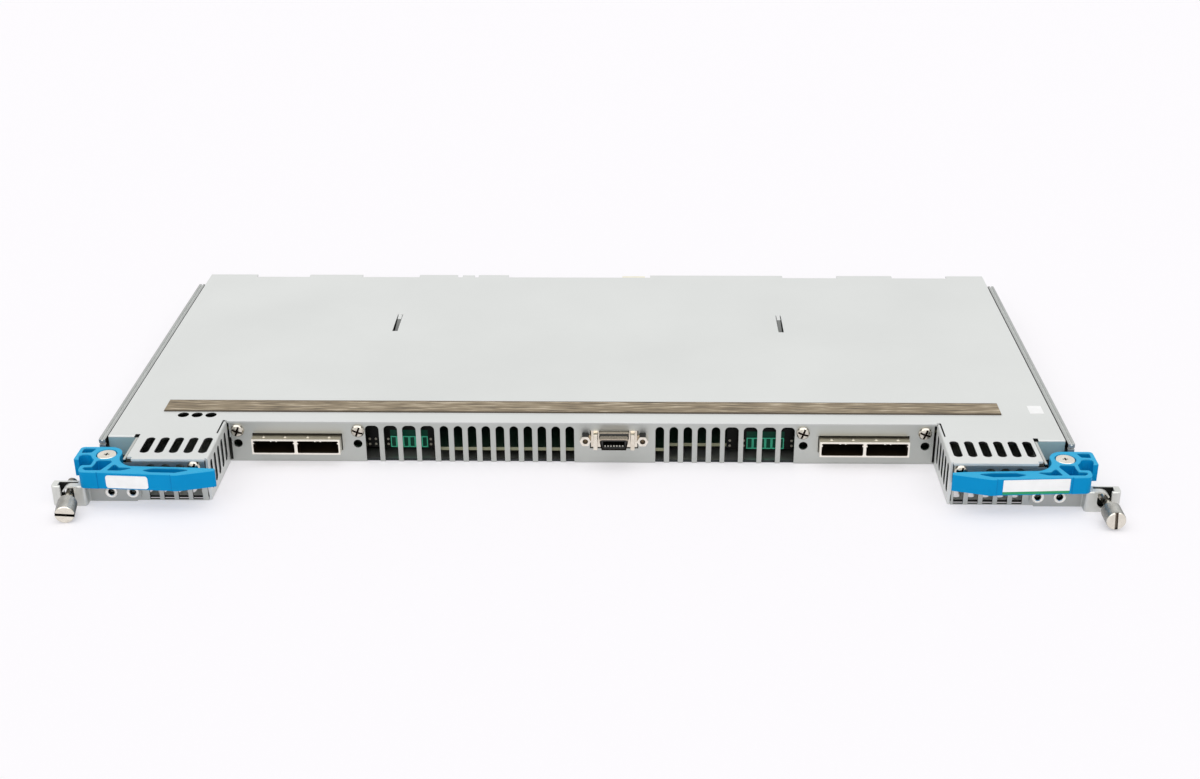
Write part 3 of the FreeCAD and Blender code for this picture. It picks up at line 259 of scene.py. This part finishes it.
# Woven conductive cloth over foam: taupe threads along the strip, rubbed paler in places, with painted shade
# along the two hems. The threads are drawn some three times as coarse as they are, or they would not show.
strip_z = (19.9, 20.6)
hems = [(None, (panel_y + 8.7, panel_y + 9.5), strip_z, "#4F4537"),
        (None, (panel_y + 19.3, panel_y + 20.0), strip_z, "#5F5445")]
gasket_cloth = finish("woven_conductive_cloth", ("#4A4032", "#82745D", "#988A73", "#CDC0AA"), 0.8, 0.5, 0.5,
                      (0.5, 0.65), stretch=14.0, patches=hems, Metallic=0.4)
# Glass-epoxy laminate: dark green solder mask, sawn edges of bare resin
sawn_edge = (None, None, (4.45, 5.95), "#9A9B7C")
board_laminate = finish("solder_masked_laminate", ("#0E2419", "#153222"), 6.0, 0.6, 0.1, (0.4, 0.5),
                        patches=[sawn_edge], Metallic=0.0, IOR=1.55)
# Anodised aluminium of the heat sinks and cans: an even dark grey
sink_metal = finish("anodised_heat_sink", ("#2A2C2E", "#36383A"), 8.0, 0.5, 0.1, (0.4, 0.5), Metallic=0.8)
# Tinned contacts: bright at the lower tips, painted dark with shade further back in the housing
tips = (None, (panel_y - 6.5, panel_y - 5.9), (11.3, 12.1), "#F3F0E6")
contact_metal = finish("tinned_contacts", ("#1E1C19", "#2A2824"), 2.0, 0.4, 0.03, (0.3, 0.4),
                       patches=[tips], Metallic=0.3)
# Indicator cards: smoked plastic, small lenses, windows printed in light green on a green ground
windows = ((-86.5, -69.8), (71.0, 87.7))
lens_front, lens_z = (-52.35, -52.05), (3.5, 10.5)
prints = [(x, (-52.1, -50.0), (3.5, 12.5), "#06402F") for x in windows]
prints.append((None, lens_front, lens_z, "#8C887C"))
prints += [(x, lens_front, lens_z, "#4ABF99") for x in windows]
lamp_plastic = finish("smoked_lamp_plastic", ("#040504", "#090B09"), 2.0, 0.4, 0.05, (0.3, 0.4),
                      patches=prints, Metallic=0.0, IOR=1.5, **{"Specular IOR Level": 0.1})
# White label film, smooth and faintly glossy; the right label has a green band along its foot
green_band = ((170.0, 205.0), (-110.0, -95.0), (10.1, 11.45), "#12955F")
label_film = finish("white_label_film", ("#F3F3F2", "#FAFAFA"), 4.0, 0.4, 0.05, (0.4, 0.5),
                    patches=[green_band], Metallic=0.0, IOR=1.49)

dress = {
    cover_zinc: ["top_cover"],
    tray_zinc: ["base_tray"],
    rail_metal: ["left_rail", "right_rail"],
    cast_zinc: ["left_bracket", "right_bracket"],
    nickel: ["left_pivot_screw", "right_pivot_screw", "board_standoffs", "board_screws"],
    eyelet_nickel: ["bracket_eyelets"],
    jack_nickel: ["ribbon_jackscrews"],
    screw_nickel: ["panel_screws", "shoulder_screws"],
    thumb_nickel: ["left_thumbscrew", "right_thumbscrew"],
    shell_tin: ["ribbon_shell"],
    cage_nickel: ["left_port_cage", "right_port_cage"],
    blue_abs: ["left_lever", "right_lever"],
    black_plastic: ["left_port_sockets", "right_port_sockets", "ribbon_insulator", "left_switch_chip",
                    "right_switch_chip", "memory_chips", "power_modules", "rear_connector_1",
                    "rear_connector_2", "rear_connector_3", "rear_connector_4", "rear_connector_5",
                    "rear_guide_dark"],
    pale_plastic: ["rear_guide_pale"],
    gasket_cloth: ["gasket_strip"],
    board_laminate: ["circuit_board"],
    sink_metal: ["left_heat_sink", "right_heat_sink", "power_coils", "capacitors"],
    contact_metal: ["ribbon_contacts"],
    lamp_plastic: ["left_indicators", "right_indicators", "panel_lamps"],
    label_film: ["left_lever_label", "right_lever_label", "cover_label"],
}
for material, names in dress.items():
    for name in names:
        worn = nodes[name].data.materials
        worn.clear()
        worn.append(material)

# Softened edges of the folded, cast and moulded pieces, in millimetres
edge_radius = {"base_tray": 0.12, "top_cover": 0.15, "left_rail": 0.2, "right_rail": 0.2, "left_bracket": 0.3,
               "right_bracket": 0.3, "left_lever": 0.28, "right_lever": 0.28, "left_port_cage": 0.12,
               "right_port_cage": 0.12, "ribbon_shell": 0.15, "gasket_strip": 0.15}
for name, radius in edge_radius.items():
    piece = nodes[name]
    weld = piece.modifiers.new("weld", "WELD")
    weld.merge_threshold = 0.002 * MM
    flat = piece.modifiers.new("flat", "DECIMATE")
    flat.decimate_type = "DISSOLVE"
    flat.angle_limit = math.radians(0.3)
    soft = piece.modifiers.new("soft", "BEVEL")
    soft.width = radius * MM
    soft.segments = 2
    soft.limit_method = "ANGLE"
    soft.angle_limit = math.radians(35)
    soft.use_clamp_overlap = True


def knurl(name, origin, axis, start, end, body):
    """Diamond knurl around a thumbscrew head, from start to end along its axis."""
    around, rows, radius, rise = 64, 28, 3.93, 0.14
    axis = Vector(axis).normalized()
    side = axis.cross(Vector((0, 0, 1))).normalized()
    up = side.cross(axis)
    points, faces = [], []
    for i in range(rows + 1):
        middle = Vector(origin) + axis * (start + (end - start) * i / rows)
        for j in range(around):
            turn = 2 * math.pi * j / around
            reach = radius + (rise if (i + j) % 2 and 0 < i < rows else 0.0)
            points.append((middle + (side * math.cos(turn) + up * math.sin(turn)) * reach) * MM)
    for i in range(rows):
        for j in range(around):
            near, far = i * around, (i + 1) * around
            beside = (j + 1) % around
            faces.append((near + j, near + beside, far + beside, far + j))
    mesh = bpy.data.meshes.new(name)
    mesh.from_pydata(points, [], faces)
    mesh.materials.append(knurled_steel)
    sleeve = bpy.data.objects.new(name, mesh)
    collection.objects.link(sleeve)
    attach(sleeve, body)


knurl("left_knurl", left_screw_at, left_screw_axis, 10.9, 19.7, "left_thumbscrew")
knurl("right_knurl", right_screw_at, right_screw_axis, 11.6, 20.4, "right_thumbscrew")

# Stage: a white table and one broad soft light from above. The camera and the reflections see a share of the
# table as plain white, so that the shadow on it stays pale.
white_share = 0.4
table_reach = 6.0
table_paint = bpy.data.materials.new("white_table")
table_paint.use_nodes = True
paint = table_paint.node_tree
paint.nodes.clear()
white = linear("#FDFBFE")
matt = add(paint, "BsdfPrincipled", {"Base Color": white, "Roughness": 0.7})
lit = add(paint, "Emission", {"Color": white, "Strength": 1.0})
ray = add(paint, "LightPath")
straight = add(paint, "Math", {0: (ray, "Is Camera Ray"), 1: (ray, "Is Glossy Ray")}, operation="MAXIMUM")
straight = add(paint, "Math", {0: (straight, 0), 1: (ray, "Is Transmission Ray")}, operation="MAXIMUM")
share = add(paint, "Math", {0: (straight, 0), 1: white_share}, operation="MULTIPLY")
shader = add(paint, "MixShader", {0: (share, 0), 1: (matt, 0), 2: (lit, 0)})
add(paint, "OutputMaterial", {"Surface": (shader, 0)})
corners = [(x * table_reach, y * table_reach, 0) for x, y in ((-1, -1), (1, -1), (1, 1), (-1, 1))]
table_mesh = bpy.data.meshes.new("table")
table_mesh.from_pydata(corners, [], [(0, 1, 2, 3)])
table_mesh.materials.append(table_paint)
table = bpy.data.objects.new("table", table_mesh)
collection.objects.link(table)
table.location.z = -0.02 * MM

world = bpy.data.worlds.new("studio")
bpy.context.scene.world = world
world.use_nodes = True
sky = world.node_tree
sky.nodes.clear()
path = add(sky, "LightPath")
seen = add(sky, "Math", {0: (path, "Is Camera Ray"), 1: (path, "Is Glossy Ray")}, operation="MAXIMUM")
seen = add(sky, "Math", {0: (seen, 0), 1: (path, "Is Transmission Ray")}, operation="MAXIMUM")
level = add(sky, "MapRange", {"Value": (seen, 0), "To Min": 0.42, "To Max": 1.0})
glow = add(sky, "Background", {"Color": linear("#FFFFFF"), "Strength": (level, "Result")})
add(sky, "OutputWorld", {"Surface": (glow, 0)})

lamp = bpy.data.lights.new("overhead", "SUN")
lamp.energy = 1.95
lamp.angle = math.radians(100)
overhead = bpy.data.objects.new("overhead", lamp)
collection.objects.link(overhead)
overhead.rotation_mode = "QUATERNION"
overhead.rotation_quaternion = Vector((0.03, 0.4, -1.0)).to_track_quat("-Z", "Y")

# Camera at the photograph's place
lens_px = 1640.0
frame_width_px = 1200.0
sensor_width = 36.0
camera_at = (22.94, -696.74, 340.33)
pitch, yaw, roll = 0.44503, -0.025392, 0.006724
forward = Vector((math.sin(yaw) * math.cos(pitch), math.cos(yaw) * math.cos(pitch), -math.sin(pitch)))
right = Vector((math.cos(yaw), -math.sin(yaw), 0.0))
down = forward.cross(right)
turned_right = math.cos(roll) * right + math.sin(roll) * down
turned_down = -math.sin(roll) * right + math.cos(roll) * down
camera = bpy.data.objects.new("camera", bpy.data.cameras.new("camera"))
collection.objects.link(camera)
camera.data.sensor_width = sensor_width
camera.data.lens = lens_px / frame_width_px * sensor_width
camera.data.clip_start = 0.01
camera.data.clip_end = 50.0
axes = Matrix((turned_right, -turned_down, -forward)).transposed()
camera.matrix_world = Matrix.Translation(Vector(camera_at) * MM) @ axes.to_4x4()
bpy.context.scene.camera = camera
bpy.context.scene.view_settings.view_transform = "Standard"
